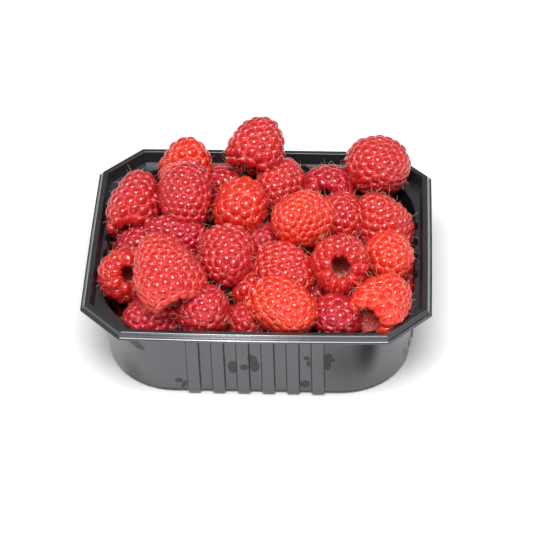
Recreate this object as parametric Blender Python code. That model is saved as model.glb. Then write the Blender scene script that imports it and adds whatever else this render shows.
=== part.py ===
"""A punnet of fresh raspberries: an open thermoformed tray and the heap of berries that fills it.

Two objects are modelled, each one closed solid:
    punnet          the tray, with its stepped octagonal rim, ledge, ribbed tapered body and flat base
    raspberry_heap  the berries, joined out to their uneven outline, lying clear of the tray

Lengths are in millimetres until a mesh is made. The origin is under the middle of the tray, on the
surface it stands on. X runs along the tray, -Y is its front and +Z is up.
"""

from math import cos, hypot, pi, radians, sin

import bmesh
import bpy
from mathutils import Matrix, Vector

MM = 0.001

# ---- Tray: driving dimensions, mm -------------------------------------------------------------
RIM_LENGTH = 143.0
RIM_WIDTH = 120.0
RIM_TOP = 40.0
RIM_CORNER_CUT = 16.9          # leg of the 45 degree corner, measured on the outermost edge
LEDGE_HEIGHT = 35.0
SHEET = 0.7
FRONT_RIM_BOW = 0.8            # the loaded front edge of the rim bows out
OTHER_RIM_BOW = 0.2
LONG_SIDE_STEPS = 6
SHORT_SIDE_STEPS = 4

BODY_TOP_INSET = 6.8           # inside face of the body at the ledge, in from the rim's edge
BODY_FOOT_INSET = 9.2          # the same face just above the base
BODY_CORNER_RADIUS = 31.0      # at the ledge
BASE_PANEL_INSET = 15.0        # flat middle of the base, clear of the ribs
CORNER_STEPS = 9

RIB_PITCH_LONG = 10.2
RIB_COUNT_LONG = 6
RIB_PITCH_SHORT = 10.0
RIB_COUNT_SHORT = 4
RIB_DEPTH = 1.3
RIB_FOOT_HALF_OUTSIDE = 2.7
RIB_TOP_HALF_OUTSIDE = 2.45
RIB_FOOT_HALF_INSIDE = 2.35
RIB_TOP_HALF_INSIDE = 2.05

# ---- Heap: driving dimensions, mm -------------------------------------------------------------
HEAP_CLEARANCE = 0.45          # between the berries and the tray
CORE_TOP = 27.0                # the berries are one mass below this height
CLIP_TOP = 90.0

# One row for each berry that shows: middle x, y, z, width across, length along its axis, the compass
# direction (from +X towards +Y) and climb of the axis from hollow end to tip, in degrees, and the
# share by which the berry is slimmer towards its tip and wider towards its hollow end.
SHOWN_BERRIES = (
    # back row, left to right
    (-33.1, 39.9, 46.5, 23.8, 25.0, 55, 76, 0.24),
    (-2.4, 42.0, 56.9, 24.4, 24.5, 67, 34, 0.26),
    (6.6, 30.0, 43.2, 22.5, 24.0, -109, 19, 0.12),
    (28.0, 32.8, 40.2, 23.0, 22.5, 81, -15, 0.10),
    (48.0, 37.5, 48.8, 27.5, 27.0, -101, 33, 0.10),
    (-16.5, 38.0, 35.8, 21.0, 21.0, -87, 42, 0.10),
    # second row
    (-53.5, 19.3, 42.7, 22.5, 30.0, 82, 16, 0.16),
    (-31.9, 14.6, 48.4, 24.0, 29.0, -82, -20, 0.14),
    (-8.5, 10.0, 47.4, 24.5, 24.5, -84, 14, 0.10),
    (16.6, 0.5, 50.0, 24.0, 26.5, -143, 24, 0.12),
    (34.0, 10.3, 42.8, 21.5, 23.0, -87, 25, 0.10),
    (50.2, 9.9, 41.3, 23.5, 29.0, 164, 62, 0.22),
    # third row
    (-55.3, -21.6, 37.0, 23.5, 26.5, 116, -46, 0.12),
    (-36.6, -34.3, 51.8, 27.5, 34.5, 115, 25, 0.26),
    (-13.0, -19.3, 45.7, 24.0, 24.5, -88, -7, 0.14),
    (11.6, -22.4, 40.4, 23.5, 28.0, -49, 3, 0.12),
    (34.0, -22.0, 46.0, 25.5, 24.0, 93, -35, 0.10),
    (53.6, -13.0, 40.2, 23.0, 23.0, -81, 23, 0.10),
    # front row
    (-43.5, -43.0, 31.0, 23.0, 24.0, -147, 47, 0.12),
    (-21.0, -43.5, 39.0, 23.0, 24.0, -77, 53, 0.12),
    (12.6, -44.0, 41.4, 24.0, 28.0, -34, 3, 0.10),
    (33.5, -44.5, 37.0, 20.5, 22.0, -87, 31, 0.10),
    (52.3, -40.2, 42.2, 24.5, 25.0, 54, 10, 0.12),
    # sunk between the others
    (-37.0, 1.5, 37.0, 22.0, 28.0, 170, 5, 0.10),
    (1.0, 1.5, 35.0, 20.0, 20.0, -87, 42, 0.10),
    (-52.0, 0.5, 33.0, 20.0, 20.0, -100, 40, 0.10),
    (-3.0, -26.0, 34.0, 17.0, 19.0, -105, 47, 0.10),
    (-4.0, -41.0, 30.0, 18.0, 19.0, -90, 60, 0.10),
    (23.0, -23.5, 31.0, 18.5, 19.0, -87, 42, 0.10),
    (47.0, -38.0, 30.0, 19.0, 19.0, -87, 42, 0.10),
)

# ---- Rim section, from its outermost edge inwards: (inset from that edge, height) --------------
RIM_UPPER_FACE = (
    (0.0, 37.6), (0.6, 37.7), (0.85, 38.0),          # trimmed flange and its fold
    (1.8, 39.7), (2.15, RIM_TOP),                    # sloping skirt, outer edge of the flat top
    (3.75, RIM_TOP), (4.1, 39.7),                    # inner edge of the flat top
    (5.1, LEDGE_HEIGHT + 0.2), (5.35, LEDGE_HEIGHT),  # collar down to the ledge
)
RIM_UNDER_FACE = (
    (0.0, 37.0), (1.05, 37.1), (2.45, RIM_TOP - SHEET), (3.25, RIM_TOP - SHEET),
    (4.45, LEDGE_HEIGHT - SHEET),
)

# ---- Body section, from the ledge down to the base: (inset, height) -----------------------------
BODY_INNER_FACE = (
    (BODY_TOP_INSET, LEDGE_HEIGHT), (BODY_TOP_INSET + 0.3, LEDGE_HEIGHT - 0.4),
    (BODY_FOOT_INSET, 3.4), (BODY_FOOT_INSET + 0.6, 1.7), (BODY_FOOT_INSET + 2.1, SHEET),
)
BODY_OUTER_FACE = (
    (BODY_TOP_INSET - SHEET, LEDGE_HEIGHT - SHEET), (BODY_FOOT_INSET - SHEET, 2.7),
    (BODY_FOOT_INSET - 0.2, 1.2), (BODY_FOOT_INSET + 0.7, 0.3), (BODY_FOOT_INSET + 2.1, 0.0),
)


# ---- Materials ----------------------------------------------------------------------------------
def principled(name, colour, roughness, coat=0.0):
    """A Principled material with one colour and roughness."""
    material = bpy.data.materials.new(name)
    material.use_nodes = True
    shader = material.node_tree.nodes["Principled BSDF"]
    shader.inputs["Base Color"].default_value = (*colour, 1.0)
    shader.inputs["Roughness"].default_value = roughness
    shader.inputs["Metallic"].default_value = 0.0
    shader.inputs["Coat Weight"].default_value = coat
    material.diffuse_color = (*colour, 1.0)
    return material


# ---- Rings --------------------------------------------------------------------------------------
def bowed_side(start, end, steps, bow):
    """Points from start up to, but not at, end, bowed outwards to the right of the way they run."""
    run = (end[0] - start[0], end[1] - start[1])
    length = hypot(*run)
    outward = (run[1] / length, -run[0] / length)
    points = []
    for step in range(steps):
        t = step / steps
        push = bow * 4.0 * t * (1.0 - t)
        points.append((start[0] + run[0] * t + outward[0] * push,
                       start[1] + run[1] * t + outward[1] * push))
    return points


def rim_ring(inset, height):
    """The octagon of the rim, anticlockwise from the front end of the right side."""
    half_x = RIM_LENGTH / 2 - inset
    half_y = RIM_WIDTH / 2 - inset
    cut = RIM_CORNER_CUT - (2 - 2 ** 0.5) * inset
    corners = ((half_x, cut - half_y), (half_x, half_y - cut), (half_x - cut, half_y),
               (cut - half_x, half_y), (-half_x, half_y - cut), (-half_x, cut - half_y),
               (cut - half_x, -half_y), (half_x - cut, -half_y))
    sides = ((SHORT_SIDE_STEPS, OTHER_RIM_BOW), (1, 0.0), (LONG_SIDE_STEPS, OTHER_RIM_BOW), (1, 0.0),
             (SHORT_SIDE_STEPS, OTHER_RIM_BOW), (1, 0.0), (LONG_SIDE_STEPS, FRONT_RIM_BOW), (1, 0.0))
    flat = []
    for index, (steps, bow) in enumerate(sides):
        flat += bowed_side(corners[index], corners[(index + 1) % len(corners)], steps, bow)
    return [(x, y, height) for x, y in flat]


def rib_profile(count, pitch, foot_half, top_half, depth):
    """(distance along a side from its middle, distance out) at the four edges of every rib."""
    profile = []
    for index in range(count):
        middle = (index - (count - 1) / 2) * pitch
        profile += [(middle - foot_half, 0.0), (middle - top_half, depth),
                    (middle + top_half, depth), (middle + foot_half, 0.0)]
    return profile


def body_ring(inset, height, foot_half=0.0, top_half=0.0):
    """The round-cornered outline of the body, anticlockwise from the right side, with its ribs if
    their half widths are given."""
    half_x = RIM_LENGTH / 2 - inset
    half_y = RIM_WIDTH / 2 - inset
    radius = BODY_CORNER_RADIUS - (inset - BODY_TOP_INSET)
    ribs_short = RIB_COUNT_SHORT if foot_half else 0
    ribs_long = RIB_COUNT_LONG if foot_half else 0
    short = rib_profile(ribs_short, RIB_PITCH_SHORT, foot_half, top_half, RIB_DEPTH)
    long = rib_profile(ribs_long, RIB_PITCH_LONG, foot_half, top_half, RIB_DEPTH)
    walls = ((0, half_x, short), (90, half_y, long), (180, half_x, short), (270, half_y, long))
    corner_middles = ((half_x - radius, half_y - radius), (radius - half_x, half_y - radius),
                      (radius - half_x, radius - half_y), (half_x - radius, radius - half_y))
    points = []
    for (angle, distance, ribs), (middle_x, middle_y) in zip(walls, corner_middles):
        out_x, out_y = cos(radians(angle)), sin(radians(angle))
        for along, out in ribs:
            reach = distance + out
            points.append((out_x * reach - out_y * along, out_y * reach + out_x * along, height))
        for step in range(CORNER_STEPS + 1):
            turn = radians(angle + 90.0 * step / CORNER_STEPS)
            points.append((middle_x + radius * cos(turn), middle_y + radius * sin(turn), height))
    return points


# ---- Mesh helpers -------------------------------------------------------------------------------
def add_ring(mesh, points):
    """Add a closed ring of vertices and its edges; return both."""
    verts = [mesh.verts.new([value * MM for value in point]) for point in points]
    edges = [mesh.edges.new((vert, verts[(i + 1) % len(verts)])) for i, vert in enumerate(verts)]
    return verts, edges


def bridge(mesh, first, second):
    """Join two rings of equal length by quads."""
    for i in range(len(first)):
        j = (i + 1) % len(first)
        mesh.faces.new((first[i], first[j], second[j], second[i]))


def fill_between(mesh, outer_edges, inner_edges):
    """Fill the flat band between two rings that lie at one height."""
    bmesh.ops.triangle_fill(mesh, edges=outer_edges + inner_edges, normal=(0.0, 0.0, 1.0),
                            use_beauty=True)


def stack(mesh, rings):
    """Bridge a list of rings in turn and return the (vertices, edges) of each."""
    added = [add_ring(mesh, ring) for ring in rings]
    for upper, lower in zip(added, added[1:]):
        bridge(mesh, upper[0], lower[0])
    return added


def finish_object(name, mesh, material, sharp_angle):
    """Turn the working mesh into a smooth-shaded object with faces pointing out."""
    bmesh.ops.triangulate(mesh, faces=[face for face in mesh.faces if len(face.verts) > 4])
    bmesh.ops.recalc_face_normals(mesh, faces=mesh.faces)
    data = bpy.data.meshes.new(name)
    mesh.to_mesh(data)
    mesh.free()
    data.materials.append(material)
    data.shade_smooth()
    data.set_sharp_from_angle(angle=sharp_angle)
    result = bpy.data.objects.new(name, data)
    bpy.context.scene.collection.objects.link(result)
    return result


# ---- Tray ---------------------------------------------------------------------------------------
def make_punnet(material):
    """The tray as one closed shell: upper face, ledge, body, base, and the under face of each."""
    mesh = bmesh.new()
    upper = stack(mesh, [rim_ring(*section) for section in RIM_UPPER_FACE])
    under = stack(mesh, [rim_ring(*section) for section in RIM_UNDER_FACE])
    bridge(mesh, upper[0][0], under[0][0])
    inner = stack(mesh, [body_ring(*section, RIB_FOOT_HALF_INSIDE, RIB_TOP_HALF_INSIDE)
                         for section in BODY_INNER_FACE])
    outer = stack(mesh, [body_ring(*section, RIB_FOOT_HALF_OUTSIDE, RIB_TOP_HALF_OUTSIDE)
                         for section in BODY_OUTER_FACE])
    fill_between(mesh, upper[-1][1], inner[0][1])
    fill_between(mesh, under[-1][1], outer[0][1])
    for wall, height in ((inner, SHEET), (outer, 0.0)):
        panel, panel_edges = add_ring(mesh, body_ring(BASE_PANEL_INSET, height))
        fill_between(mesh, wall[-1][1], panel_edges)
        mesh.faces.new(panel)
    return finish_object("punnet", mesh, material, radians(40))


# ---- Heap ---------------------------------------------------------------------------------------
def hidden_berries():
    """The layer that lies under the berries that show, on a staggered grid."""
    rows = ((-36.0, 0.0), (-12.5, 11.0), (11.5, 0.0), (35.5, 11.0))
    berries = []
    for row, (y, shift) in enumerate(rows):
        for column in range(-3, 3):
            x = 22.0 * column + 11.0 + shift * 0.5
            if abs(x) + abs(y) < 82.0:
                berries.append((x, y, 23.0, 21.0, 22.0, 70 * column + 45 * row, 50, 0.1))
    return berries


def make_berry(name, x, y, z, width, length, compass, climb, taper):
    """A rounded cone for one berry, tip along its axis."""
    mesh = bmesh.new()
    bmesh.ops.create_icosphere(mesh, subdivisions=2, radius=1.0)
    for vert in mesh.verts:
        girth = 0.5 * width * (1.0 - taper * vert.co.z)
        vert.co = Vector((vert.co.x * girth, vert.co.y * girth, vert.co.z * length / 2)) * MM
    data = bpy.data.meshes.new(name)
    mesh.to_mesh(data)
    mesh.free()
    berry = bpy.data.objects.new(name, data)
    turn = Matrix.Rotation(radians(compass), 4, "Z") @ Matrix.Rotation(radians(90 - climb), 4, "Y")
    berry.matrix_world = Matrix.Translation(Vector((x, y, z)) * MM) @ turn
    return berry


def make_core(material):
    """The mass of berries below the ones that show, filling the body of the tray."""
    mesh = bmesh.new()
    floor_inset = BODY_FOOT_INSET + HEAP_CLEARANCE
    wall_slope = (BODY_FOOT_INSET - BODY_TOP_INSET) / LEDGE_HEIGHT
    top_inset = BODY_TOP_INSET + HEAP_CLEARANCE + (LEDGE_HEIGHT - CORE_TOP) * wall_slope
    sections = ((floor_inset + 2.4, SHEET + HEAP_CLEARANCE), (floor_inset + 0.3, 3.6),
                (top_inset + 0.3, CORE_TOP))
    rings = stack(mesh, [body_ring(inset, height) for inset, height in sections])
    mesh.faces.new(rings[0][0])
    mesh.faces.new(rings[-1][0])
    return finish_object("raspberry_heap", mesh, material, radians(30))


def make_clip():
    """The free space inside the tray, open upwards, that the berries have to stay within."""
    mesh = bmesh.new()
    gap = HEAP_CLEARANCE
    body = [body_ring(inset + gap, height) for inset, height in (
        (BODY_TOP_INSET + 0.3, LEDGE_HEIGHT + gap), (BODY_FOOT_INSET, 3.4),
        (BODY_FOOT_INSET + 2.1, SHEET + gap))]
    rim = [rim_ring(inset + gap, height) for inset, height in (
        (4.1, CLIP_TOP), (4.1, RIM_TOP), (5.35, LEDGE_HEIGHT + gap))]
    rim_rings = stack(mesh, rim)
    body_rings = stack(mesh, body)
    fill_between(mesh, rim_rings[-1][1], body_rings[0][1])
    mesh.faces.new(rim_rings[0][0])
    mesh.faces.new(body_rings[-1][0])
    return finish_object("heap_clip", mesh, principled("guide", (0.5, 0.5, 0.5), 0.5), radians(30))


def hide_guide(guide):
    """Mark an object as a cutter that isn't part of the model."""
    guide.hide_render = True
    guide.display_type = "WIRE"


def make_heap(material):
    """Join the berries to the core, and keep the whole clear of the tray."""
    heap = make_core(material)
    group = bpy.data.collections.new("heap_berries")
    bpy.context.scene.collection.children.link(group)
    for index, row in enumerate(SHOWN_BERRIES + tuple(hidden_berries())):
        berry = make_berry(f"heap_berry_{index:02d}", *row)
        group.objects.link(berry)
        hide_guide(berry)
    join = heap.modifiers.new("join_berries", "BOOLEAN")
    join.operation = "UNION"
    join.operand_type = "COLLECTION"
    join.collection = group
    join.solver = "EXACT"
    clip = make_clip()
    hide_guide(clip)
    keep = heap.modifiers.new("keep_clear_of_tray", "BOOLEAN")
    keep.operation = "INTERSECT"
    keep.object = clip
    keep.solver = "EXACT"
    return heap


def main():
    for item in list(bpy.data.objects):
        bpy.data.objects.remove(item, do_unlink=True)
    black_plastic = principled("black_plastic", (0.02, 0.021, 0.024), 0.28)
    raspberry = principled("raspberry", (0.55, 0.03, 0.045), 0.3, coat=0.4)
    make_punnet(black_plastic)
    make_heap(raspberry)


main()
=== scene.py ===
"""Looks of a punnet of fresh raspberries: a ribbed black tray, and berries built drupelet by drupelet."""

from math import cos, pi, radians, sin

import bmesh
import bpy
import numpy as np
from mathutils import Matrix, Vector


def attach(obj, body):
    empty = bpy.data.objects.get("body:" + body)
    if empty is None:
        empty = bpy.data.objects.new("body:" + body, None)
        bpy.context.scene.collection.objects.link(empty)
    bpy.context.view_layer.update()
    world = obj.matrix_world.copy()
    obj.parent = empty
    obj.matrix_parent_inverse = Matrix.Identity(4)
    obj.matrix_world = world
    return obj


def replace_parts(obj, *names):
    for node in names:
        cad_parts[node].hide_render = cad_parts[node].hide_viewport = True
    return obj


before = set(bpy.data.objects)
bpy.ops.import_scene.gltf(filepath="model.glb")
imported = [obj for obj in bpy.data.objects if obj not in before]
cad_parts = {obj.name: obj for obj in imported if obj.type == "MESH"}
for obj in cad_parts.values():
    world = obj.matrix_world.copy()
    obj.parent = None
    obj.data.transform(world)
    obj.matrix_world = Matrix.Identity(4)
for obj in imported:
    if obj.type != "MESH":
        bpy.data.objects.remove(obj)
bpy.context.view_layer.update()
MM = 0.001

# ---- Berries ----
# Middle x, y, z, width across and length along the axis, in mm, and the compass direction and climb
# of the axis from the hollow end to the tip, in degrees, and how much slimmer it gets towards the tip,
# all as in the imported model. Then the kind, the spacing of the drupelets in mm, how plump they are,
# and how ripe: 0 dark crimson, 1 orange.
BERRIES = (
    # back row, left to right
    (-33.1, 39.9, 46.5, 23.8, 25.0, 55, 76, 0.24, "orange", 4.3, 0.66, 0.80),
    (-2.4, 42.0, 56.9, 24.4, 24.5, 67, 34, 0.26, "red", 3.9, 0.66, 0.42),
    (6.6, 30.0, 43.2, 22.5, 24.0, -109, 19, 0.12, "red", 3.5, 0.62, 0.40),
    (28.0, 32.8, 40.2, 23.0, 22.5, 81, -15, 0.10, "dark", 4.0, 0.66, 0.22),
    (48.0, 37.5, 48.8, 27.5, 27.0, -101, 33, 0.10, "red", 3.8, 0.60, 0.38),
    (-16.5, 38.0, 35.8, 21.0, 21.0, -87, 42, 0.10, "dark", 3.7, 0.62, 0.22),
    # second row
    (-53.5, 19.3, 42.7, 22.5, 30.0, 82, 16, 0.16, "red", 4.1, 0.72, 0.28),
    (-31.9, 14.6, 48.4, 24.0, 29.0, -82, -20, 0.14, "red", 3.4, 0.62, 0.32),
    (-8.5, 10.0, 47.4, 24.5, 24.5, -84, 14, 0.10, "orange", 4.4, 0.66, 0.75),
    (16.6, 0.5, 50.0, 24.0, 26.5, -143, 24, 0.12, "orange", 3.2, 0.58, 0.85),
    (34.0, 10.3, 42.8, 21.5, 23.0, -87, 25, 0.10, "dark", 3.5, 0.62, 0.38),
    (50.2, 9.9, 41.3, 23.5, 29.0, 164, 62, 0.22, "red", 3.7, 0.62, 0.42),
    # third row
    (-55.3, -21.6, 37.0, 23.5, 26.5, 116, -46, 0.12, "red", 4.2, 0.72, 0.45),
    (-36.6, -34.3, 51.8, 27.5, 34.5, 115, 25, 0.26, "orange", 3.7, 0.60, 0.48),
    (-13.0, -19.3, 45.7, 24.0, 24.5, -88, -7, 0.14, "dark", 3.6, 0.66, 0.30),
    (11.6, -22.4, 40.4, 23.5, 28.0, -49, 3, 0.12, "red", 3.5, 0.64, 0.45),
    (34.0, -22.0, 46.0, 25.5, 24.0, 93, -35, 0.10, "red", 4.1, 0.70, 0.50),
    (53.6, -13.0, 40.2, 23.0, 23.0, -81, 23, 0.10, "orange", 3.6, 0.60, 0.94),
    # front row
    # this one's ripeness is set low partly as painted shade, for it lies in the shadow of the big berry
    # behind it
    (-43.5, -43.0, 31.0, 23.0, 24.0, -147, 47, 0.12, "pale", 3.5, 0.62, 0.15),
    (-21.0, -43.5, 39.0, 23.0, 24.0, -77, 53, 0.12, "dark", 3.6, 0.66, 0.28),
    (12.6, -44.0, 41.4, 24.0, 28.0, -34, 3, 0.10, "orange", 3.7, 0.60, 0.85),
    (33.5, -44.5, 37.0, 20.5, 22.0, -87, 31, 0.10, "dark", 4.1, 0.66, 0.14),
    (52.3, -40.2, 42.2, 24.5, 25.0, 54, 10, 0.12, "orange", 3.9, 0.66, 0.88),
    # sunk between the others
    (-37.0, 1.5, 37.0, 22.0, 28.0, 170, 5, 0.10, "dark", 3.5, 0.62, 0.12),
    (1.0, 1.5, 35.0, 20.0, 20.0, -87, 42, 0.10, "pale", 3.5, 0.60, 0.24),
    (-52.0, 0.5, 33.0, 20.0, 20.0, -100, 40, 0.10, "dark", 3.5, 0.62, 0.08),
    (-3.0, -26.0, 34.0, 17.0, 19.0, -105, 47, 0.10, "red", 4.3, 0.70, 0.50),
    (-4.0, -41.0, 30.0, 18.0, 19.0, -90, 60, 0.10, "pale", 3.6, 0.62, 0.35),
    (23.0, -23.5, 31.0, 18.5, 19.0, -87, 42, 0.10, "dark", 3.6, 0.62, 0.25),
    (47.0, -38.0, 30.0, 19.0, 19.0, -87, 42, 0.10, "pale", 3.6, 0.62, 0.35),
)

# Berries whose hollows show, by their place in the table above, counted from 0.
# How far the mouth of the hollow is pinched shut, or if negative pulled open, and along which direction.
PINCHED = {
    12: (0.2, (0.0, 0.67, 0.74)),
    13: (0.15, (0.0, 0.67, 0.74)),
    16: (0.22, (1.0, 0.0, 0.0)),
    22: (-0.3, (0.7, -0.45, -0.53)),
}
# How steeply the rim of the hollow is slanted, and the direction that its rim draws back on.
SLANTED = {6: (0.28, (1.0, 0.0, 0.0)), 22: (0.45, (0.04, -0.74, 0.67))}
# The side of the hollow's rim where the drupelets have come off, so that the inside shows.
BARE = {22: (-0.04, 0.74, -0.67)}
BARE_FACING, BARE_BELOW = 0.25, -0.12  # its edges: a cosine of the turn, and a share of the length
FINE_BODY = (96, 96)             # sides and rows of such a berry's body
# Hollows that can be looked into, so that the fibres in them show, and the side that most of these grow on.
DOWNY_HOLLOWS = (12, 16, 22)
FIBRE_SIDE = (0.0, -0.67, -0.74)
MOST_PINCH = 0.3                 # of any other berry's hollow

# Outline of a berry from its tip round the hollow end's lip to the bottom of the hollow, as shares of
# its half width and half length.
OUTLINE = ((0.0, 1.0), (0.30, 0.955), (0.57, 0.80), (0.78, 0.55), (0.92, 0.24), (0.99, -0.10),
           (1.0, -0.42), (0.92, -0.70), (0.77, -0.90), (0.62, -0.97), (0.49, -0.90), (0.42, -0.74),
           (0.37, -0.45), (0.30, -0.10), (0.18, 0.16), (0.0, 0.28))
LIP_ROW = 9                      # the point of the outline on the lip
SPAN_POINTS = 12                 # between one point of the outline and the next
OUTLINE_POINTS = 240
PLAIN_TAPER = 0.1                # the taper that the outline above already has

# Drupelets. Lengths are shares of their spacing, and heights are shares of how far they stand out.
RISE = 1.40                      # how far a drupelet stands out, to its plumpness and half its width
OUTLINE_DEPTH = 1.95             # from one side's tops to the other's, less the outline they sit on
FLESH_LEVEL = 0.43               # where the downy flesh lies between drupelets
FEWEST_ON_LIP = 9
LIP_GAP = 1.22                   # from the lip to the last row before it
AREA_EACH = 0.88                 # spacing squared
GOLDEN_ANGLE = 2.399963
SCATTER, TURN_SCATTER = 0.16, 0.05  # of the first places, before the drupelets relax
LIP_SCATTER, LIP_TURN_SCATTER = 0.07, 0.35
RELAX_ROUNDS = 24
PUSH_REACH, PUSH_SHARE = 1.15, 0.35
LUMPINESS, HEIGHT_SPREAD, SIZE_SPREAD, LEAN = 0.07, 0.12, 0.20, 0.06
DOME_SIDES = 13
DOME_ANGLES = (0, 20, 38, 54, 68, 80, 90)
DOME_POWER = 0.92                # below 1, the dome is fuller than a ball
SKIRT = (0.96, -0.55)            # width and height of the row below the dome
BOTTOM = 0.75                    # how deep a drupelet's lowest point lies
LIP_HEIGHT, LIP_DEPTH = 1.28, 2.2
LEAST_REACH, CAP = 0.35, 1.26    # from a drupelet's middle to its neighbour's edge, in half spacings
LIP_CAP, LIP_INWARD, LIP_OUTWARD = 1.20, -0.12, 0.60
CORNER_POWER = 11.0              # how sharp the corners are where three drupelets meet
SWELL = 1.12                     # makes up for what the power takes off
OVERLAP = 0.04                   # mm, that a drupelet may reach past the plane where it meets the next
TINT_SPREAD = 0.05
EDGE_REACH = 0.8                 # mm, how far past a meeting plane still counts as the edge
# The plain berries below the others have coarser drupelets.
PLAIN_SIDES, PLAIN_ANGLES = 9, (0, 28, 52, 73, 90)


def smooth_outline(width, length, taper):
    """Radii, heights and places of even points along a berry's outline, and the lip's place, in mm."""
    shares = np.array(OUTLINE)
    shares[:, 0] *= 1 - (taper - PLAIN_TAPER) * shares[:, 1]
    base = shares * (width / 2, length / 2)
    spans = []
    for i in range(len(base) - 1):
        # one span of a smooth curve through all the points
        before, after = base[max(i - 1, 0)], base[min(i + 2, len(base) - 1)]
        a, b = base[i], base[i + 1]
        t = np.linspace(0, 1, SPAN_POINTS, endpoint=False)[:, None]
        spans.append(0.5 * (2 * a + (b - before) * t + (2 * before - 5 * a + 4 * b - after) * t ** 2
                            + (3 * a - before - 3 * b + after) * t ** 3))
    dense = np.concatenate(spans + [base[-1:]])
    along = np.concatenate([[0], np.cumsum(np.hypot(*np.diff(dense, axis=0).T))])
    even = np.linspace(0, along[-1], OUTLINE_POINTS)
    radius, height = (np.interp(even, along, column) for column in dense.T)
    return np.abs(radius), height, even, float(along[LIP_ROW * SPAN_POINTS])


class Outline:
    """A surface of revolution: where the drupelets of one berry sit."""

    def __init__(self, width, length, taper):
        self.radius, self.height, self.along, self.lip = smooth_outline(width, length, taper)
        self.d_radius = np.gradient(self.radius, self.along)
        self.d_height = np.gradient(self.height, self.along)

    def place(self, s, turn):
        """Point, outward normal, and directions along the outline and round it."""
        r, z = np.interp(s, self.along, self.radius), np.interp(s, self.along, self.height)
        dr, dz = np.interp(s, self.along, self.d_radius), np.interp(s, self.along, self.d_height)
        size = np.hypot(dr, dz)
        dr, dz = dr / size, dz / size
        c, n = np.cos(turn), np.sin(turn)
        point = np.stack([r * c, r * n, z], 1)
        down = np.stack([dr * c, dr * n, dz], 1)
        round_ = np.stack([-n, c, np.zeros_like(c)], 1)
        normal = np.stack([-dz * c, -dz * n, dr], 1)
        return point, normal, down, round_


def seed_drupelets(rng, outline, pitch):
    """Places of the drupelets, (s, turn), relaxed until they are evenly spaced; the lip's come first."""
    lip_radius = float(np.interp(outline.lip, outline.along, outline.radius))
    lip_count = max(FEWEST_ON_LIP, round(2 * pi * lip_radius * 0.95 / pitch))
    s_end = outline.lip - LIP_GAP * pitch
    inside = outline.along <= s_end
    area = np.cumsum(outline.radius * inside)
    total = 2 * pi * area[-1] * (outline.along[1] - outline.along[0])
    count = int(total / (AREA_EACH * pitch ** 2))
    share = (np.arange(count) + 0.5) / count
    s = np.interp(share * area[-1], area, outline.along) + rng.normal(0, SCATTER * pitch, count)
    turn = np.arange(count) * GOLDEN_ANGLE + rng.normal(0, TURN_SCATTER, count)
    lip_turn = np.arange(lip_count) * 2 * pi / lip_count
    lip_turn = lip_turn + rng.normal(0, LIP_TURN_SCATTER / lip_count, lip_count)
    lip_s = outline.lip + rng.normal(0, LIP_SCATTER * pitch, lip_count)
    s, turn = np.concatenate([lip_s, s]), np.concatenate([lip_turn, turn])
    fixed = np.arange(len(s)) < lip_count
    for _ in range(RELAX_ROUNDS):
        point, _, down, round_ = outline.place(s, turn)
        apart = point[:, None] - point[None]
        distance = np.linalg.norm(apart, axis=2) + np.eye(len(s)) * 99
        push = np.clip(PUSH_REACH * pitch - distance, 0, None) / distance
        force = (apart * push[..., None]).sum(1) * PUSH_SHARE
        radius = np.maximum(np.interp(s, outline.along, outline.radius), 0.8)
        s = s + np.where(fixed, 0, (force * down).sum(1))
        turn = turn + (force * round_).sum(1) / radius * np.where(fixed, 0.3, 1)
        crossed = s < 0
        s, turn = np.abs(s), np.where(crossed, turn + pi, turn)
        s = np.where(fixed, s, np.minimum(s, s_end + 0.25 * pitch))
    return s, turn, lip_count


def drupelet_faces(sides, rings, last):
    """Triangles of one drupelet: its top point, rings of points down to its skirt, and its lowest point."""
    faces = []
    ring = [1 + m * sides for m in range(rings)]
    for k in range(sides):
        n = (k + 1) % sides
        faces.append((0, ring[0] + k, ring[0] + n))
        for a, b in zip(ring, ring[1:]):
            faces.append((a + k, b + k, b + n))
            faces.append((a + k, b + n, a + n))
        faces.append((ring[-1] + k, last, ring[-1] + n))
    return np.array(faces)


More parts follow.
